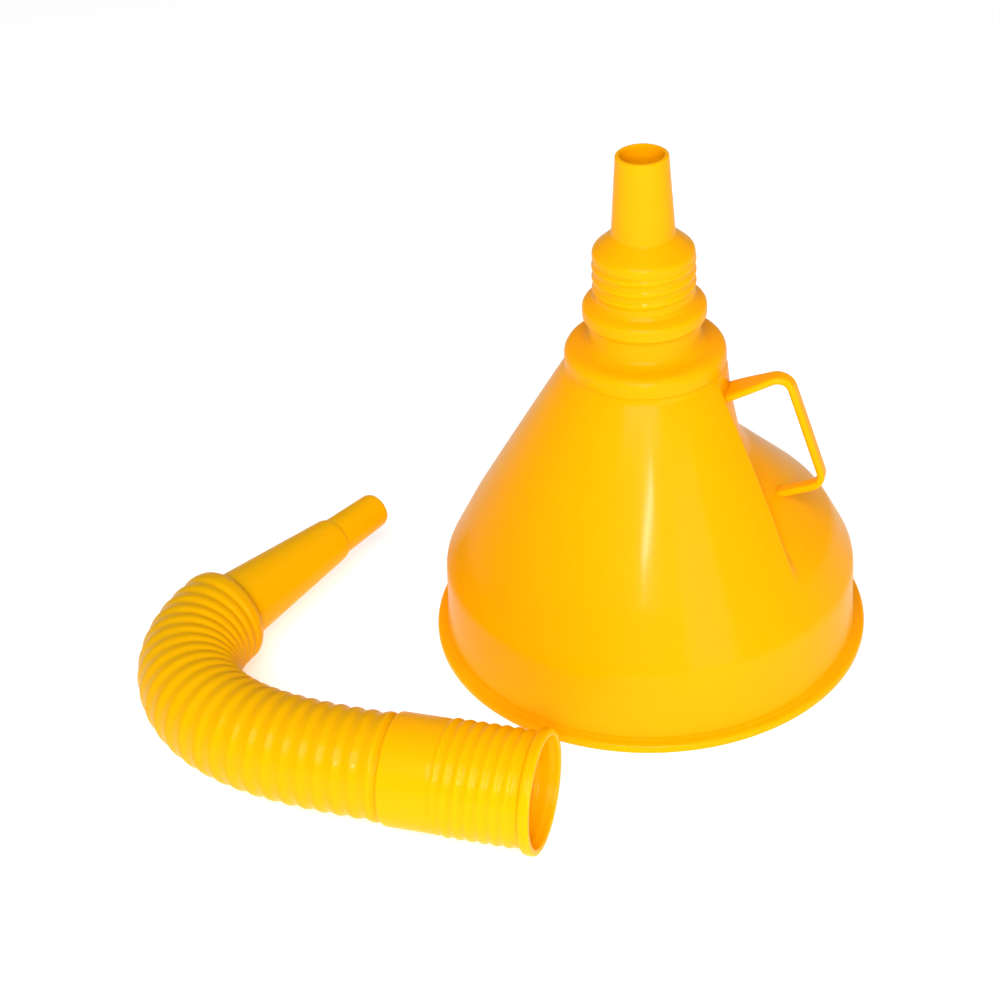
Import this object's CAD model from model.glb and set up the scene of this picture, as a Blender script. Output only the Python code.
"""Pouring funnel standing on its mouth, with a loose bellows spout lying beside it.

Every shape is a surface worked out from a formula on a grid. Lengths inside the classes are in
millimetres and become metres when a mesh is made.
"""
import logging
import math
from dataclasses import dataclass, field
from enum import Enum

import bmesh
import bpy
import numpy as np
from mathutils import Matrix, Quaternion, Vector


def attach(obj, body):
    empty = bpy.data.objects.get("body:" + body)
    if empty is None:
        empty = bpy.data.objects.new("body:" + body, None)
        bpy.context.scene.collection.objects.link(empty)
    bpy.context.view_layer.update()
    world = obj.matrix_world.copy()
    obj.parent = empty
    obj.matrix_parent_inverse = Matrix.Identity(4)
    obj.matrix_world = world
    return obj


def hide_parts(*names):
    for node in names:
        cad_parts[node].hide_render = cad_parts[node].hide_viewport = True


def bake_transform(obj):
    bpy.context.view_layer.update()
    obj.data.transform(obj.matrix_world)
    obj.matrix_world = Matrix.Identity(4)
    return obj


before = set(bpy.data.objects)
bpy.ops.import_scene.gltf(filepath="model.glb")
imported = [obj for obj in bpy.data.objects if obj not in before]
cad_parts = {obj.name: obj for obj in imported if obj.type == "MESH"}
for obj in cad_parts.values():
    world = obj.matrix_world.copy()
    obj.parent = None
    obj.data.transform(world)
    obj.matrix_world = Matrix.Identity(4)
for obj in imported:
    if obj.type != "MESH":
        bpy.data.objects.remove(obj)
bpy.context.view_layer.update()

LOG = logging.getLogger("funnel")
MM = 0.001
TAU = 2 * math.pi

ARC_STEP = 0.28  # largest turn between two points of a rounded corner, in radians
RUN_SHARE = 0.49  # largest share of a straight run that one rounded corner may take
CAP_INSET = 0.35  # size of a bar's inset end ring against its section


class Body(Enum):
    """The rigid bodies that pieces ride on."""

    FUNNEL = "funnel"
    STRAINER = "strainer"
    SPOUT = "spout"
    NOZZLE = "nozzle"


class Slot(Enum):
    """The record's material slots."""

    BOWL = "bowl_yellow"
    SPOUT = "spout_yellow"
    STRAINER = "strainer_yellow"
    GAUZE = "gauze"


# ---------------------------------------------------------------- small formulas


def smooth_step(t: np.ndarray) -> np.ndarray:
    """Ramp 3t^2 - 2t^3, held at 0 below 0 and at 1 above 1."""
    t = np.clip(t, 0.0, 1.0)
    return t * t * (3 - 2 * t)


def rounded_outline(corners: list[tuple[float, float, float]], step: float = 1.0) -> np.ndarray:
    """Rounds an outline's corners and spaces points along it.

    Each corner is (a, b, radius). The arc of that radius touches both runs that meet there; it is
    made smaller where a run is too short for it.

    Args:
        corners: the outline's corners, in order.
        step: the largest gap between two points on a straight run.

    Returns:
        Points of the outline, one row each.
    """
    pts = [np.array(c[:2], float) for c in corners]
    out = [pts[0]]
    for i in range(1, len(pts) - 1):
        a, b, c, r = pts[i - 1], pts[i], pts[i + 1], corners[i][2]
        u, v = (a - b) / np.linalg.norm(a - b), (c - b) / np.linalg.norm(c - b)
        half = math.acos(float(np.clip(u @ v, -1, 1))) / 2
        if r <= 0 or half > math.pi / 2 - 0.02:
            out.append(b)
            continue
        back = min(r / math.tan(half), RUN_SHARE * np.linalg.norm(a - b),
                   RUN_SHARE * np.linalg.norm(c - b))
        r = back * math.tan(half)
        centre = b + (u + v) / np.linalg.norm(u + v) * (r / math.sin(half))
        start, end = b + u * back - centre, b + v * back - centre
        turn = math.atan2(start[0] * end[1] - start[1] * end[0], float(start @ end))
        n = max(3, int(abs(turn) / ARC_STEP))
        t = np.linspace(0, turn, n + 1)
        arc = centre + np.stack([start[0] * np.cos(t) - start[1] * np.sin(t),
                                 start[0] * np.sin(t) + start[1] * np.cos(t)], 1)
        out.extend(arc)
    out.append(pts[-1])
    dense = [out[0]]
    for p, q in zip(out[:-1], out[1:]):
        n = max(1, math.ceil(float(np.linalg.norm(q - p)) / step))
        dense.extend(p + (q - p) * k / n for k in range(1, n + 1))
    return np.array(dense)


def blurred(values: np.ndarray, steps: int) -> np.ndarray:
    """Running mean over 2 * steps + 1 values, taken twice, with the ends held."""
    kernel = np.ones(2 * steps + 1) / (2 * steps + 1)
    for _ in range(2):
        padded = np.pad(values, steps, mode="reflect", reflect_type="odd")
        values = np.convolve(padded, kernel, "valid")
    return values


def helix_ridge(theta: np.ndarray, along: np.ndarray, pitch: float, start: float, end: float,
                fade: float = 2.4, sharp: float = 1.6) -> np.ndarray:
    """Height from 0 to 1 of a screw ridge.

    The ridge is (0.5 + 0.5 cos(2 pi along / pitch - theta)) to the power sharp, and fades out over
    a short run at both ends.

    Args:
        theta: angle round the axis.
        along: distance along the axis.
        pitch: distance between two turns.
        start: where the ridges begin.
        end: where they end.
        fade: length of the fade at each end.
        sharp: how narrow the ridge is.

    Returns:
        The height at each point.
    """
    wave = 0.5 + 0.5 * np.cos(TAU * along / pitch - theta)
    window = smooth_step((along - start) / fade) * smooth_step((end - along) / fade)
    return wave ** sharp * window


# ---------------------------------------------------------------- meshes


def new_mesh(name: str, points: np.ndarray, faces: np.ndarray,
             angle: float | None = None) -> bpy.types.Object:
    """Makes a smooth-shaded mesh object from points in millimetres.

    Args:
        name: the piece's name.
        points: one point a row.
        faces: one quad a row.
        angle: edges that turn by more than this many degrees shade as creases; none do if it is
            left out.

    Returns:
        The object, at the origin.
    """
    mesh = bpy.data.meshes.new(name)
    mesh.vertices.add(len(points))
    mesh.vertices.foreach_set("co", (points * MM).astype(np.float32).ravel())
    mesh.loops.add(faces.size)
    mesh.loops.foreach_set("vertex_index", faces.astype(np.int32).ravel())
    mesh.polygons.add(len(faces))
    starts = np.arange(0, faces.size, faces.shape[1], dtype=np.int32)
    mesh.polygons.foreach_set("loop_start", starts)
    mesh.polygons.foreach_set("use_smooth", np.ones(len(faces), bool))
    mesh.update(calc_edges=True)
    mesh.validate()
    if angle is not None:
        mesh.set_sharp_from_angle(angle=math.radians(angle))
    obj = bpy.data.objects.new(name, mesh)
    bpy.context.scene.collection.objects.link(obj)
    return obj


def grid_faces(rows: int, cols: int, close_rows: bool, close_cols: bool) -> np.ndarray:
    """Quads of a grid of rows x cols points, closed round either way if asked."""
    r = np.arange(rows if close_rows else rows - 1)
    c = np.arange(cols if close_cols else cols - 1)
    a, b = np.meshgrid(r, c, indexing="ij")
    a2, b2 = (a + 1) % rows, (b + 1) % cols
    quads = np.stack([a * cols + b, a2 * cols + b, a2 * cols + b2, a * cols + b2], -1)
    return quads.reshape(-1, 4)


def volume_sign(points: np.ndarray, quads: np.ndarray) -> float:
    """Signed volume of a closed mesh: positive when its faces point outwards."""
    p = points[quads]
    one = np.einsum("ij,ij->i", p[:, 0], np.cross(p[:, 1], p[:, 2])).sum()
    two = np.einsum("ij,ij->i", p[:, 0], np.cross(p[:, 2], p[:, 3])).sum()
    return float(one + two) / 6


def outward(points: np.ndarray, quads: np.ndarray) -> np.ndarray:
    """A closed mesh's quads, all reversed if they point inwards."""
    return quads[:, ::-1] if volume_sign(points, quads) < 0 else quads


def closed_grid(name: str, grid: np.ndarray, angle: float) -> bpy.types.Object:
    """A closed piece from a grid of points (rows, cols, 3) that closes round both ways."""
    rows, cols = grid.shape[:2]
    points = grid.reshape(-1, 3)
    quads = outward(points, grid_faces(rows, cols, True, True))
    return new_mesh(name, points, quads, angle)


def swept_bar(name: str, path: np.ndarray, across: np.ndarray, side: np.ndarray,
              section: np.ndarray) -> bpy.types.Object:
    """Carries a section along a path and closes both ends with a smaller ring and a cap.

    Point = path + across * u + side * v for each (u, v) of the section.

    Args:
        name: the piece's name.
        path: the path's points.
        across: vector across the path at each point.
        side: vector to the side at each point; its length widens the section.
        section: the section's (u, v) points, in order round it.

    Returns:
        The bar.
    """
    grid = (path[:, None] + across[:, None] * section[None, :, :1]
            + side[:, None] * section[None, :, 1:])
    cols = len(section)
    first = path[0] + (grid[0] - path[0]) * CAP_INSET
    last = path[-1] + (grid[-1] - path[-1]) * CAP_INSET
    grid = np.concatenate([first[None], grid, last[None]])
    rows = len(grid)
    points = grid.reshape(-1, 3)
    quads = grid_faces(rows, cols, False, True)
    half = np.arange(cols // 2 - 1)
    cap_a = np.stack([half, half + 1, cols - 2 - half, cols - 1 - half], 1)
    cap_b = cap_a[:, ::-1] + (rows - 1) * cols
    quads = np.concatenate([quads, cap_a[:, ::-1], cap_b[:, ::-1]])
    obj = new_mesh(name, points, quads)
    fix_normals(obj)
    return obj


def fix_normals(obj: bpy.types.Object) -> None:
    """Turns all faces of a closed mesh outwards."""
    work = bmesh.new()
    work.from_mesh(obj.data)
    bmesh.ops.recalc_face_normals(work, faces=work.faces)
    work.to_mesh(obj.data)
    work.free()


# ---------------------------------------------------------------- finishes


def new_material(name: str) -> tuple[bpy.types.Material, bpy.types.ShaderNode]:
    """A node material and its principled shader."""
    mat = bpy.data.materials.new(name)
    mat.use_nodes = True
    return mat, mat.node_tree.nodes["Principled BSDF"]


def noise(tree: bpy.types.NodeTree, place: bpy.types.ShaderNode, scale: float,
          detail: float = 2.0) -> bpy.types.NodeSocket:
    """Factor of a noise texture in the piece's own coordinates, scale per metre."""
    node = tree.nodes.new("ShaderNodeTexNoise")
    node.inputs["Scale"].default_value = scale
    node.inputs["Detail"].default_value = detail
    tree.links.new(place.outputs["Object"], node.inputs["Vector"])
    return node.outputs["Fac"]


def patchy_colour(tree: bpy.types.NodeTree, shader: bpy.types.ShaderNode,
                  factor: bpy.types.NodeSocket, deep: tuple[float, float, float],
                  colour: tuple[float, float, float]) -> None:
    """Mixes the base colour from deep, at factor 0, to colour, at factor 1."""
    mix = tree.nodes.new("ShaderNodeMix")
    mix.data_type = "RGBA"
    mix.inputs["A"].default_value = (*deep, 1)
    mix.inputs["B"].default_value = (*colour, 1)
    tree.links.new(factor, mix.inputs["Factor"])
    tree.links.new(mix.outputs["Result"], shader.inputs["Base Color"])


@dataclass(frozen=True)
class GlossyPlastic:
    """Saturated moulded plastic: even gloss, faint cloudiness in the colour and a slight ripple.

    Fields:
        name: the material's name.
        colour: linear base colour.
        deep: linear colour of the cloudier, deeper patches.
        roughness: mean roughness.
        coat_roughness: roughness of the smooth outer skin.
        ripple: strength of the surface's ripple.
        coat: weight of the skin.
        glow: share of the light that spreads under the surface.
        glow_reach: how far red, green and blue light spread there, in metres.
    """

    name: str
    colour: tuple[float, float, float]
    deep: tuple[float, float, float]
    roughness: float = 0.3
    coat_roughness: float = 0.12
    ripple: float = 0.05
    coat: float = 0.07
    glow: float = 0.4
    glow_reach: tuple[float, float, float] = (0.010, 0.006, 0.0008)

    def make(self) -> bpy.types.Material:
        """Builds the node material and returns it."""
        mat, shader = new_material(self.name)
        tree = mat.node_tree
        settings = {
            "IOR": 1.5, "Specular IOR Level": 0.02, "Coat Weight": self.coat,
            "Coat Roughness": self.coat_roughness, "Subsurface Weight": self.glow,
            "Subsurface Radius": self.glow_reach, "Subsurface Scale": 1.0}
        for socket, value in settings.items():
            shader.inputs[socket].default_value = value
        place = tree.nodes.new("ShaderNodeTexCoord")
        patchy_colour(tree, shader, noise(tree, place, 22.0, 3.0), self.deep, self.colour)
        rough = tree.nodes.new("ShaderNodeMapRange")
        rough.inputs["To Min"].default_value = self.roughness - 0.04
        rough.inputs["To Max"].default_value = self.roughness + 0.05
        tree.links.new(noise(tree, place, 90.0, 4.0), rough.inputs["Value"])
        tree.links.new(rough.outputs["Result"], shader.inputs["Roughness"])
        bump = tree.nodes.new("ShaderNodeBump")
        bump.inputs["Strength"].default_value = self.ripple
        bump.inputs["Distance"].default_value = MM
        tree.links.new(noise(tree, place, 60.0, 1.0), bump.inputs["Height"])
        tree.links.new(bump.outputs["Normal"], shader.inputs["Normal"])
        return mat


@dataclass(frozen=True)
class WovenGauze:
    """Pale nylon thread with a faint variation along it."""

    name: str = "gauze_thread"
    colour: tuple[float, float, float] = (0.62, 0.60, 0.52)

    def make(self) -> bpy.types.Material:
        """Builds the node material and returns it."""
        mat, shader = new_material(self.name)
        tree = mat.node_tree
        shader.inputs["Roughness"].default_value = 0.45
        place = tree.nodes.new("ShaderNodeTexCoord")
        deep = tuple(c * 0.8 for c in self.colour)
        patchy_colour(tree, shader, noise(tree, place, 150.0), deep, self.colour)
        return mat


BOWL_FINISH = GlossyPlastic("bowl_polyethylene", (0.93, 0.352, 0.0), (0.91, 0.332, 0.0))
SPOUT_FINISH = GlossyPlastic("spout_polyethylene", (0.93, 0.388, 0.0), (0.91, 0.368, 0.0),
                             roughness=0.32, coat_roughness=0.13)
STRAINER_FINISH = GlossyPlastic("strainer_polyethylene", (0.95, 0.40, 0.0), (0.93, 0.37, 0.0))


def dress(obj: bpy.types.Object, material: bpy.types.Material) -> None:
    """Gives a piece its one material."""
    obj.data.materials.clear()
    obj.data.materials.append(material)


# ---------------------------------------------------------------- the bowl


@dataclass
class Bowl:
    """The bowl, finger recess, collars, threaded neck and nozzle, moulded as one wall."""

    rim_r: float = 80.0
    wall: float = 1.8
    seat_z: float = 109.0
    collar_r: float = 28.2
    collar_z: float = 115.2
    neck_r: float = 19.5
    bead_r: float = 21.5
    thread_r: float = 17.9
    thread_root_r: float = 17.2
    shoulder_r: float = 17.6
    pitch: float = 4.2
    shoulder_z: float = 153.0
    top: float = 189.9
    recess_near: float = -16.4
    recess_far: float = 76.0
    recess_swing: float = 0.155
    recess_ramp: float = 6.0
    foot_z: float = 4.4
    cavity_r: float = 26.9
    thread_z: float = 139.0
    wall_line: list = field(default_factory=lambda: [
        (4.4, 76.2), (12, 75.5), (30, 75.0), (50, 64.6), (66, 55.2), (82, 45.7), (98, 36.2),
        (109, 29.5)])
    recess_line: list = field(default_factory=lambda: [
        (4.4, 76.2), (12, 75.5), (30, 75.0), (45.0, 67.2), (74, 36.8), (82, 33.0), (92, 31.0),
        (102, 29.5), (109, 28.8)])

    def outer(self, z: np.ndarray, inside: float = 0.0) -> tuple[np.ndarray, np.ndarray]:
        """Radii of the plain wall and of the recess at heights z.

        Both run straight between the listed heights, softened by a running mean, and inside
        moves them in by the wall, measured level: more on the sloping walls.
        """
        fine = np.linspace(self.foot_z, self.seat_z, 1047)
        lines = []
        for line in (self.wall_line, self.recess_line):
            h, r = np.array(line).T
            radius = blurred(np.interp(fine, h, r), 14)
            if inside:
                slope = np.gradient(radius, fine)
                radius = radius - inside * np.sqrt(1 + slope ** 2)
                radius = blurred(radius, 8)
            lines.append(np.interp(z, fine, radius))
        return lines[0], lines[1]

    def share(self, theta: np.ndarray, z: np.ndarray, radius: np.ndarray,
              grow: float) -> np.ndarray:
        """How far the recess takes over from the plain wall at each point, 0 to 1.

        The near edge swings out by recess_swing degrees per millimetre down the wall, and both
        edges ramp over recess_ramp millimetres of the wall's girth. grow widens the recess.
        """
        deg = (np.degrees(theta) + 120) % 360 - 120
        near = self.recess_near - self.recess_swing * (108 - z)
        width = np.degrees(self.recess_ramp / radius)
        pad = np.degrees(grow / radius)
        rise = smooth_step((deg - near + pad + width * 0.3) / width)
        fall = smooth_step((self.recess_far + pad + width * 0.3 - deg) / width)
        return rise * fall

    def neck_outline(self) -> np.ndarray:
        """Radius and height from the crease under the big collar up to the nozzle's rim."""
        c, s = self.collar_z, self.shoulder_z
        return rounded_outline([
            (28.6, self.seat_z + 1, 0), (27.7, c - 3.0, 0.3), (self.collar_r + 0.1, c - 2.6, 1.4),
            (self.collar_r, c + 3.6, 3.6), (22.4, c + 5.0, 2.5), (self.neck_r, c + 6.4, 2.6),
            (self.neck_r, 129.6, 0.5), (self.bead_r, 130.2, 1.3), (self.bead_r, 134.9, 2.2),
            (18.2, 136.9, 1.6),
            (self.thread_root_r, 138.2, 1.0), (self.thread_root_r, s - 1.2, 0.6),
            (self.shoulder_r, s - 0.2, 1.0), (self.shoulder_r, s + 2.3, 3.6), (13.4, s + 6.0, 3.0),
            (10.9, s + 8.2, 1.2),
            (8.98, self.top - 0.3, 0.5), (8.4, self.top, 0.35), (7.6, self.top, 0.3)], 0.55)

    def inner_outline(self) -> np.ndarray:
        """Radius and height from the nozzle's rim down to the top of the bowl's cavity."""
        s = self.shoulder_z
        return rounded_outline([
            (7.5, self.top - 0.4, 0), (9.1, s + 8.0, 2), (12.2, s + 5.0, 3), (15.1, s - 1.0, 2),
            (15.1, 134, 1.5), (17.8, 129, 1.5), (17.8, self.seat_z + 1.2, 0.6),
            (18.6, self.seat_z, 0.6), (self.cavity_r, self.seat_z, 0.8), (self.cavity_r, 104.0, 0)],
            1.6)

    def build(self, material: bpy.types.Material) -> bpy.types.Object:
        """Makes the whole shell as one closed grid, outside up and inside down.

        Its columns stand closer together where the recess begins and ends.
        """
        theta = np.radians(np.concatenate([
            np.arange(-36, -10, 0.4), np.arange(-10, 66, 1.5),
            np.arange(66, 86, 0.5), np.arange(86, 324, 1.5)]))
        lip = rounded_outline([(77.2, 0.0, 0), (self.rim_r, 0.0, 0.9), (self.rim_r, 3.1, 1.3),
                               (77.6, 3.7, 1.2), (76.25, self.foot_z, 0)], 0.7)
        rise = np.concatenate([
            np.linspace(5, 40, 26), np.linspace(41, 84, 48), np.linspace(86, 109, 16)])
        neck = self.neck_outline()
        drop = self.inner_outline()
        fall = np.concatenate([
            np.linspace(103, 84, 10), np.linspace(82.5, 40, 30), np.linspace(38, 4.6, 12)])
        foot = np.array([[74.2, 3.0], [74.5, 0.8], [74.8, 0.15], [75.3, 0.0]])

        def ring(profile: np.ndarray) -> np.ndarray:
            """A profile that is the same all round, as (rows, cols, 2)."""
            return np.repeat(profile[:, None], len(theta), 1)

        def walls(z: np.ndarray, inside: float) -> np.ndarray:
            """The conical wall with its recess, as (rows, cols, 2)."""
            plain, cut = self.outer(z, inside)
            t, zz = np.meshgrid(theta, z)
            base = np.repeat(plain[:, None], len(theta), 1)
            deep = np.minimum(np.repeat(cut[:, None], len(theta), 1), base)
            w = self.share(t, zz, base, inside)
            return np.stack([base + (deep - base) * w, zz], -1)

        inner = walls(fall, self.wall)
        inner[..., 0] = np.maximum(inner[..., 0], self.cavity_r)
        grid = np.concatenate([
            ring(lip), walls(rise, 0.0), ring(neck), ring(drop), inner, ring(foot)])
        t = np.broadcast_to(theta, grid.shape[:2])
        ridge = helix_ridge(t, grid[..., 1] - self.thread_z, self.pitch, -1.2, 14.8)
        outside = np.zeros(len(grid), bool)
        start = len(lip) + len(rise)
        outside[start:start + len(neck)] = True
        near_root = np.abs(grid[..., 0] - self.thread_root_r) < 0.3
        grid[..., 0] += np.where(outside[:, None] & near_root,
                                 (self.thread_r - self.thread_root_r) * ridge, 0)
        shell = np.stack([grid[..., 0] * np.cos(t), grid[..., 0] * np.sin(t), grid[..., 1]], -1)
        obj = closed_grid("funnel_shell", shell, 50)
        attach(obj, Body.FUNNEL.value)
        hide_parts("funnel_body")
        dress(obj, material)
        return obj


@dataclass
class StrapHandle:
    """The open strap handle across the finger recess."""

    thick: float = 2.7
    width: float = 5.2
    root_width: float = 12.4
    corner: float = 5.0
    line: list = field(default_factory=lambda: [
        (27.6, 101.3), (50.1, 111.8), (64.2, 69.2), (43.6, 60.9)])

    def build(self, material: bpy.types.Material) -> bpy.types.Object:
        """Carries a rounded oblong along the strap's rounded line, wider towards the roots."""
        (x0, z0), (x1, z1), (x2, z2), (x3, z3) = self.line
        path = rounded_outline([
            (x0, z0, 0), (x1, z1, self.corner), (x2, z2, self.corner), (x3, z3, 0)], 1.2)
        tangent = np.gradient(path, axis=0)
        tangent /= np.linalg.norm(tangent, axis=1)[:, None]
        place = np.stack([path[:, 0], np.zeros(len(path)), path[:, 1]], 1)
        across = np.stack([-tangent[:, 1], np.zeros(len(path)), tangent[:, 0]], 1)
        side = np.tile([0.0, 1.0, 0.0], (len(path), 1))
        t, w = self.thick / 2, self.width / 2
        section = rounded_outline([
            (t, 0, 0), (t, w, 1.0), (-t, w, 1.0), (-t, -w, 1.0), (t, -w, 1.0), (t, -0.6, 0)], 1.1)
        flare = self.root_width / self.width - 1
        side *= (1 + flare * (1 - smooth_step((path[:, 0] - 30) / 22)))[:, None]
        obj = swept_bar("strap_handle", place, across, side, section)
        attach(obj, Body.FUNNEL.value)
        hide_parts("carry_handle")
        dress(obj, material)
        return obj


# ---------------------------------------------------------------- the strainer


@dataclass
class Strainer:
    """The snap-in strainer in the top of the bowl: a stepped ring, a pull and gauze."""

    outer: float = 26.3
    low: float = 104.6
    high: float = 108.6
    mesh_r: float = 23.9
    threads: int = 37
    thread_r: float = 0.14
    weave_z: float = 106.9
    weave_lift: float = 0.17

    def build(self, plastic: bpy.types.Material,
              thread: bpy.types.Material) -> list[bpy.types.Object]:
        """Makes the ring, the pull and the gauze."""
        theta = np.linspace(0, TAU, 144, endpoint=False)
        edge = rounded_outline([
            (23.5, 105.4, 0), (23.5, self.low, 0.4), (self.outer, self.low, 0.5),
            (self.outer, self.high, 0.5), (24.3, self.high, 0.4), (24.3, 106.5, 0.2),
            (23.5, 106.3, 0.2), (23.5, 105.6, 0)], 0.8)
        t, r = np.meshgrid(theta, edge[:, 0])
        z = np.repeat(edge[:, 1][:, None], len(theta), 1)
        ring = closed_grid("strainer_ring", np.stack([r * np.cos(t), r * np.sin(t), z], -1), 50)
        cross = self.cross()
        gauze = self.gauze()
        for obj, node in ((ring, "strainer_frame"), (cross, "strainer_frame"),
                          (gauze, "strainer_gauze")):
            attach(obj, Body.STRAINER.value)
            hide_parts(node)
        dress(ring, plastic)
        dress(cross, plastic)
        dress(gauze, thread)
        return [ring, cross, gauze]

    def cross(self) -> bpy.types.Object:
        """The pull: a turned knob under a small square plate in the middle of the ring.

        The plate's plan radius is the smaller of half_side / |sin| and half_side / |cos|.
        """
        cols = 256
        half_side = 0.9
        theta = np.linspace(0, TAU, cols, endpoint=False)
        plan = np.minimum(half_side / np.maximum(np.abs(np.sin(theta)), 1e-3),
                          half_side / np.maximum(np.abs(np.cos(theta)), 1e-3))
        rows = [(0.02, 104.62), (1.0, 104.6), (1.0, 106.2), (0.02, 106.18)]
        plate = np.array([
            np.stack([plan * k * np.cos(theta), plan * k * np.sin(theta), np.full(cols, h)], 1)
            for k, h in rows]).reshape(-1, 3)
        turned = rounded_outline([
            (0.02, 99.6, 0), (2.6, 99.6, 0.8), (3.2, 104.9, 0.2), (0.02, 104.9, 0)], 0.8)
        t, r = np.meshgrid(theta[::4], turned[:, 0])
        z = np.repeat(turned[:, 1][:, None], cols // 4, 1)
        knob = np.stack([r * np.cos(t), r * np.sin(t), z], -1).reshape(-1, 3)
        plate_faces = outward(plate, grid_faces(len(rows), cols, True, True))
        knob_faces = outward(knob, grid_faces(len(turned), cols // 4, True, True))
        return new_mesh("strainer_cross", np.concatenate([plate, knob]),
                        np.concatenate([plate_faces, knob_faces + len(plate)]), 40)

    def gauze(self) -> bpy.types.Object:
        """Two sets of threads that pass over and under each other.

        Each thread runs straight across the ring at its own offset and its height is a sine whose
        half-wave is the distance between threads, with neighbours in opposite phase.
        """
        gap = 2 * self.mesh_r / (self.threads + 1)
        offsets = (np.arange(self.threads) - (self.threads - 1) / 2) * gap
        steps = 4 * self.threads + 1
        points, faces, base = [], [], 0
        round_t = np.linspace(0, TAU, 4, endpoint=False) + TAU / 8
        for way in (0, 1):
            for n, off in enumerate(offsets):
                reach = math.sqrt(max(self.mesh_r ** 2 - off ** 2, 1.0))
                count = max(8, int(steps * reach / self.mesh_r))
                run = np.linspace(-reach, reach, count)
                phase = (n + way) % 2 * math.pi
                lift = self.weave_z + self.weave_lift * np.cos(
                    math.pi * (run - offsets[0]) / gap + phase)
                u = off + self.thread_r * np.cos(round_t)
                grid = np.zeros((count, 4, 3))
                grid[..., 0] = run[:, None]
                grid[..., 1] = u[None, :]
                grid[..., 2] = lift[:, None] + self.thread_r * np.sin(round_t)[None, :]
                if way:
                    grid = grid[..., [1, 0, 2]]
                points.append(grid.reshape(-1, 3))
                quads = grid_faces(count, 4, False, True)
                caps = np.array([[0, 1, 2, 3], [3, 2, 1, 0]]) + np.array([[0], [(count - 1) * 4]])
                quads = np.concatenate([quads, caps[:, ::-1]])
                faces.append(outward(grid.reshape(-1, 3), quads) + base)
                base += count * 4
        return new_mesh("strainer_gauze_weave", np.concatenate(points), np.concatenate(faces))


# ---------------------------------------------------------------- the spout


@dataclass
class SpoutLine:
    """The centreline of the spout as it lies: a straight socket, then 23 bends, then the nozzle.

    Bend k turns by the total times a bell curve of k, so the spout bends most beyond its middle.
    The line lies in a level plane at the height of the socket's bead, which rests on the floor.
    """

    mouth: tuple[float, float, float] = (-5.2, -127.3, 21.16)
    socket: float = 59.3
    pitch: float = 5.81
    total: float = math.radians(112.4)
    peak: float = 16.9
    spread: float = 9.65
    bends: int = 23

    def __post_init__(self) -> None:
        """Works out each bend's angle, heading and place."""
        k = np.arange(1, self.bends + 1)
        weight = np.exp(-((k - self.peak) / self.spread) ** 2)
        self.angle = self.total * weight / weight.sum()
        self.heading = math.pi - np.concatenate([[0], np.cumsum(self.angle)])
        places = [np.array([-self.socket, 0.0])]
        for h in self.heading[1:-1]:
            places.append(places[-1] + self.pitch * np.array([math.cos(h), math.sin(h)]))
        self.hinge = np.array(places)

    def lay(self, local: np.ndarray) -> np.ndarray:
        """Moves points about the mouth's own origin to where the spout lies."""
        return local + np.array(self.mouth)

    def along(self, bend: int, forward: np.ndarray, radius: np.ndarray, theta: np.ndarray,
              turn: np.ndarray | float) -> np.ndarray:
        """Points round the line near bend number bend (from 1).

        The point is forward along the heading before the bend and radius out at angle theta from
        level, then turned about the bend's own axis by turn.
        """
        before = self.heading[bend - 1]
        side = radius * np.cos(theta)
        x = forward * math.cos(before) - side * math.sin(before)
        y = forward * math.sin(before) + side * math.cos(before)
        c, s = np.cos(-np.asarray(turn)), np.sin(-np.asarray(turn))
        px, py = self.hinge[bend - 1]
        turned = [px + x * c - y * s, py + x * s + y * c, radius * np.sin(theta)]
        return self.lay(np.stack(turned, -1))


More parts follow.
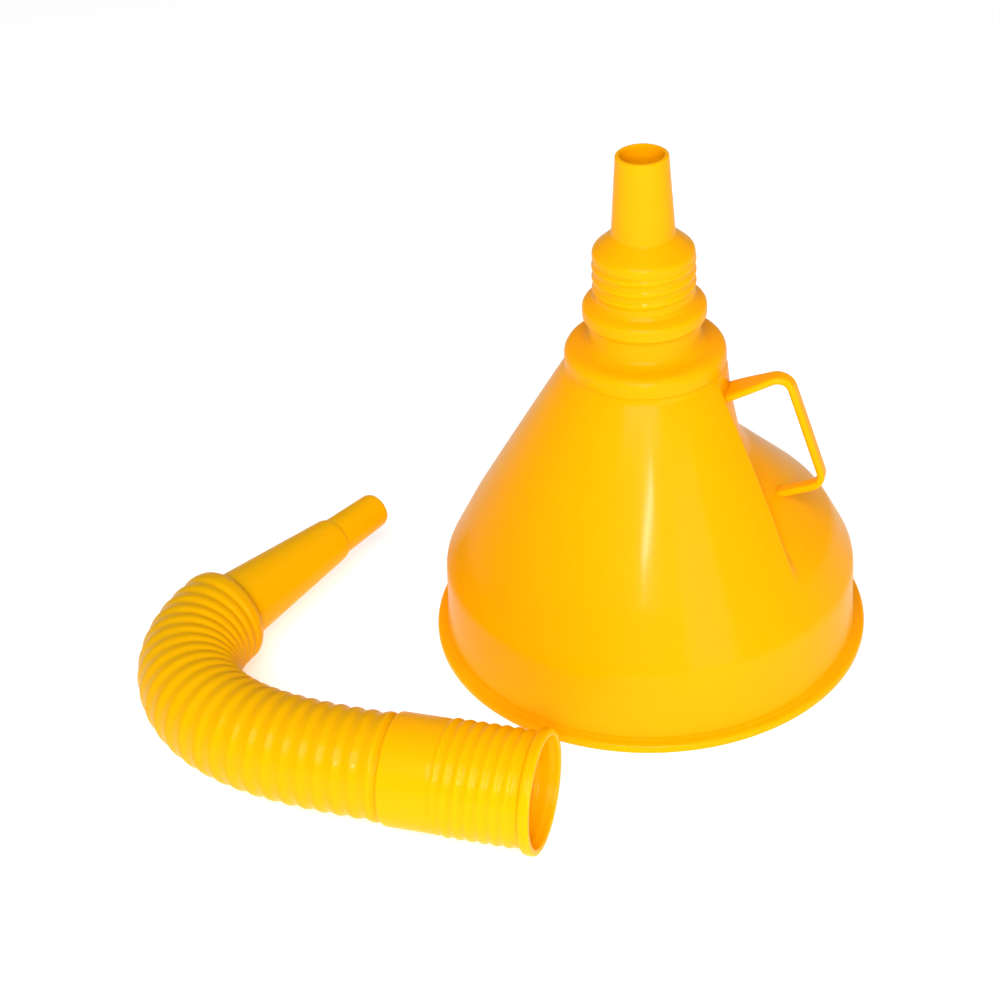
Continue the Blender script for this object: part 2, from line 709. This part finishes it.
@dataclass
class ScrewSocket:
    """The spout's mouth: a rolled bead, a wall ridged by its screw thread and a plain sleeve."""

    line: SpoutLine
    bead_r: float = 21.15
    ridge_r: float = 19.8
    root_r: float = 19.2
    sleeve_r: float = 19.3
    crest_r: float = 18.6
    bore_r: float = 17.25
    inner_root_r: float = 18.1
    pitch: float = 4.2
    thread_start: float = 6.6
    thread_end: float = 34.0
    columns: int = 192

    def build(self, material: bpy.types.Material) -> bpy.types.Object:
        """Makes the socket as one closed grid, outside in and inside back out."""
        end = self.line.socket - self.line.pitch / 2
        outside = rounded_outline([
            (18.9, 0.15, 0), (19.5, 0.0, 0.4), (self.bead_r, 0.0, 1.5), (self.bead_r, 3.6, 1.5),
            (self.root_r, 4.4, 0.7), (self.root_r, self.thread_end, 1),
            (self.sleeve_r, self.thread_end + 2, 2),
            (self.sleeve_r, end - 4.2, 1.6), (17.5, end - 3.6, 0.7), (17.5, end - 3.0, 0.7),
            (self.crest_r, end - 1.4, 1.2), (self.crest_r, end, 0)], 0.5)
        inside = rounded_outline([
            (16.9, end, 0), (16.9, end - 2, 1), (16.1, end - 3.3, 0.8), (16.9, end - 5, 1),
            (self.bore_r, self.thread_end + 3, 2),
            (self.inner_root_r - 0.15, self.thread_end, 1), (self.inner_root_r - 0.15, 3.4, 1),
            (18.6, 1.6, 0.8), (18.7, 0.6, 0.3)], 0.6)
        outline = np.concatenate([outside, inside])
        theta = np.linspace(0, TAU, self.columns, endpoint=False)
        t, radius = np.meshgrid(theta, outline[:, 0])
        depth = np.repeat(outline[:, 1][:, None], self.columns, 1)
        outer_row = np.arange(len(outline))[:, None] < len(outside)
        run = depth - self.thread_start
        ends = (-1.6, self.thread_end - 5.6)
        ridge = helix_ridge(t, run, self.pitch, *ends, sharp=1.0)
        inner_ridge = helix_ridge(t + math.pi, run, self.pitch, *ends, sharp=1.3)
        in_zone = (depth > 4.6) & (depth < self.thread_end)
        lift = np.where(outer_row, self.ridge_r - self.root_r, -(self.inner_root_r - self.bore_r))
        shift = np.where(outer_row, ridge, inner_ridge)
        radius = radius + np.where(in_zone, lift * shift, 0.0)
        points = self.line.lay(np.stack([-depth, radius * np.cos(t), radius * np.sin(t)], -1))
        obj = closed_grid("screw_socket", points, 50)
        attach(obj, Body.SPOUT.value)
        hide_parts("spout_socket")
        dress(obj, material)
        return obj


@dataclass
class Bellows:
    """The corrugated wall, cut at its crests into one fold for each bend.

    A fold reaches from crest to crest through the groove at the bend, so it can turn smoothly
    between the two bodies that the bend joins, and neighbours stay joined at their crests.
    """

    line: SpoutLine
    crest_r: float = 18.4
    groove_r: float = 17.7
    dome_r: float = 15.2
    wall: float = 1.0
    columns: int = 144
    rows: int = 17
    groove_power: float = 1.1
    dome_power: float = 1.8

    def fold(self, k: int) -> bpy.types.Object:
        """One fold.

        Radius = crest - depth * (0.5 + 0.5 cos(2 pi x / pitch)) ^ groove_power for x from minus to
        plus half the pitch. The last fold instead comes down to the nozzle as a dome, close to a
        quarter ellipse. Each point turns about the bend's axis by the bend's angle times the smooth
        step of x.
        """
        half = self.line.pitch / 2
        x = np.linspace(-half, half, self.rows)
        depth = self.crest_r - self.groove_r
        wave = 0.5 + 0.5 * np.cos(TAU * x / self.line.pitch)
        outer = self.crest_r - depth * wave ** self.groove_power
        if k == self.line.bends:
            fall = np.sqrt(1 - ((x + half) / (2 * half)) ** self.dome_power)
            outer = self.dome_r + (self.crest_r - self.dome_r) * fall
        inner = outer[::-1] - self.wall
        forward = np.concatenate([x, x[::-1]])
        radius = np.concatenate([outer, inner])
        theta = np.linspace(0, TAU, self.columns, endpoint=False)
        t, r = np.meshgrid(theta, radius)
        f = np.repeat(forward[:, None], self.columns, 1)
        turn = self.line.angle[k - 1] * smooth_step((f + half) / self.line.pitch)
        obj = closed_grid(f"bellows_fold_{k:02d}", self.line.along(k, f, r, t, turn), 60)
        zero = np.zeros(1)
        ends = [self.line.along(k, np.array([s * half]), zero, zero, a)[0] * MM
                for s, a in ((-1, 0.0), (1, self.line.angle[k - 1]))]
        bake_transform(obj)
        if k < self.line.bends:
            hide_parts(f"spout_ring_{k:02d}")
        return obj

    def build(self, material: bpy.types.Material) -> list[bpy.types.Object]:
        """Makes and dresses every fold."""
        folds = [self.fold(k) for k in range(1, self.line.bends + 1)]
        for obj in folds:
            dress(obj, material)
        return folds


@dataclass
class SpoutNozzle:
    """The spout's long tapered nozzle with its stepped tip, grown from the last fold's dome."""

    line: SpoutLine
    length: float = 83.3
    collar_r: float = 15.2
    columns: int = 120

    def build(self, material: bpy.types.Material) -> bpy.types.Object:
        """Turns the nozzle's outline about the line beyond the last bend."""
        half = self.line.pitch / 2
        end = self.length
        outline = rounded_outline([
            (14.6, half, 0), (self.collar_r, half, 0.02), (self.collar_r - 0.5, half + 0.9, 0.8),
            (13.3, half + 1.6, 0.8), (8.7, 57.0, 1.4), (8.4, 58.2, 0.6),
            (7.6, 59.0, 0.6), (6.8, end - 1.4, 1.2), (6.2, end, 1.2), (5.2, end, 0.5),
            (5.5, end - 3, 0.5), (6.3, 59.0, 1), (7.3, 57.0, 1), (11.8, 9.0, 1),
            (12.6, half + 3.4, 1), (13.6, half + 1.0, 1), (14.2, half, 0)], 0.9)
        theta = np.linspace(0, TAU, self.columns, endpoint=False)
        t, r = np.meshgrid(theta, outline[:, 0])
        f = np.repeat(outline[:, 1][:, None], self.columns, 1)
        points = self.line.along(self.line.bends, f, r, t, self.line.angle[-1])
        obj = closed_grid("spout_nozzle_taper", points, 50)
        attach(obj, Body.NOZZLE.value)
        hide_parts("spout_nozzle")
        dress(obj, material)
        return obj


# ---------------------------------------------------------------- studio


@dataclass(frozen=True)
class Lamp:
    """An oblong area light, aimed at a point and turned about its own axis in degrees."""

    name: str
    at: tuple[float, float, float]
    aim: tuple[float, float, float]
    size: tuple[float, float]
    watts: float
    turn: float = 0.0

    def make(self) -> None:
        """Adds the light."""
        data = bpy.data.lights.new(self.name, "AREA")
        data.shape = "RECTANGLE"
        data.size, data.size_y = self.size
        data.energy = self.watts
        lamp = bpy.data.objects.new(self.name, data)
        lamp.location = self.at
        lamp.rotation_mode = "QUATERNION"
        lamp.rotation_quaternion = (Vector(self.aim) - Vector(self.at)).to_track_quat("-Z", "Y")
        lamp.rotation_quaternion @= Quaternion((0, 0, 1), math.radians(self.turn))
        bpy.context.scene.collection.objects.link(lamp)


LAMPS = (
    Lamp("front_panel", (0.165, -0.68, 0.40), (0.0, 0.0, 0.08), (0.022, 0.12), 1.5, -60.0),
    Lamp("top_softbox", (0.15, -1.15, 1.2), (0.0, -0.03, 0.05), (1.1, 0.8), 23.0),
    Lamp("side_fill", (0.8, -0.8, 0.35), (-0.02, -0.1, 0.04), (0.5, 0.5), 2.4),
)


@dataclass
class Studio:
    """Camera, white floor, white surroundings and soft lights."""

    camera_at: tuple[float, float, float] = (0.15040, -0.62169, 0.48944)
    yaw: float = math.radians(-18.420)
    pitch: float = math.radians(34.185)
    roll: float = math.radians(-3.670)
    lens: float = 76.267
    floor_span: float = 6.0
    floor_glow: float = 0.4
    surroundings: float = 0.36

    def camera(self) -> None:
        """Places the camera by its yaw, downward pitch and roll."""
        cy, sy = math.cos(self.yaw), math.sin(self.yaw)
        cp, sp = math.cos(self.pitch), math.sin(self.pitch)
        ahead = Vector((sy * cp, cy * cp, -sp))
        level = Vector((cy, -sy, 0))
        rise = level.cross(ahead)
        cr, sr = math.cos(self.roll), math.sin(self.roll)
        right, up = cr * level + sr * rise, -sr * level + cr * rise
        data = bpy.data.cameras.new("studio_camera")
        data.lens = self.lens
        data.sensor_width = 36.0
        data.clip_start = 0.05
        cam = bpy.data.objects.new("studio_camera", data)
        cam.matrix_world = Matrix((right, up, -ahead)).transposed().to_4x4()
        cam.location = self.camera_at
        bpy.context.scene.collection.objects.link(cam)
        bpy.context.scene.camera = cam

    def floor(self) -> None:
        """A wide white sheet just under the object."""
        unit = np.array([[-1, -1, 0], [1, -1, 0], [1, 1, 0], [-1, 1, 0]])
        obj = new_mesh("floor", unit * self.floor_span / MM, np.array([[0, 1, 2, 3]]))
        mat, shader = new_material("white_sheet")
        shader.inputs["Base Color"].default_value = (0.92, 0.92, 0.92, 1)
        shader.inputs["Roughness"].default_value = 0.9
        shader.inputs["Specular IOR Level"].default_value = 0.1
        shader.inputs["Emission Color"].default_value = (1, 1, 1, 1)
        shader.inputs["Emission Strength"].default_value = self.floor_glow
        obj.data.materials.append(mat)

    def build(self) -> None:
        """Sets up the surroundings and lights."""
        world = bpy.data.worlds.new("white_room")
        world.use_nodes = True
        background = world.node_tree.nodes["Background"]
        background.inputs["Color"].default_value = (1, 1, 1, 1)
        background.inputs["Strength"].default_value = self.surroundings
        bpy.context.scene.world = world
        bpy.context.scene.view_settings.view_transform = "Standard"
        self.floor()
        for lamp in LAMPS:
            lamp.make()


def main() -> None:
    """Builds everything in order."""
    logging.basicConfig(level=logging.INFO, format="%(message)s")
    studio = Studio()
    studio.camera()
    bowl_skin, spout_skin = BOWL_FINISH.make(), SPOUT_FINISH.make()
    strainer_skin, thread = STRAINER_FINISH.make(), WovenGauze().make()
    line = SpoutLine()
    made = [Bowl().build(bowl_skin), StrapHandle().build(bowl_skin)]
    made += Strainer().build(strainer_skin, thread)
    made.append(ScrewSocket(line).build(spout_skin))
    made += Bellows(line).build(spout_skin)
    made.append(SpoutNozzle(line).build(spout_skin))
    for obj in made:
        LOG.info("%s: %d faces", obj.name, len(obj.data.polygons))
    studio.build()


if __name__ == "__main__":
    main()
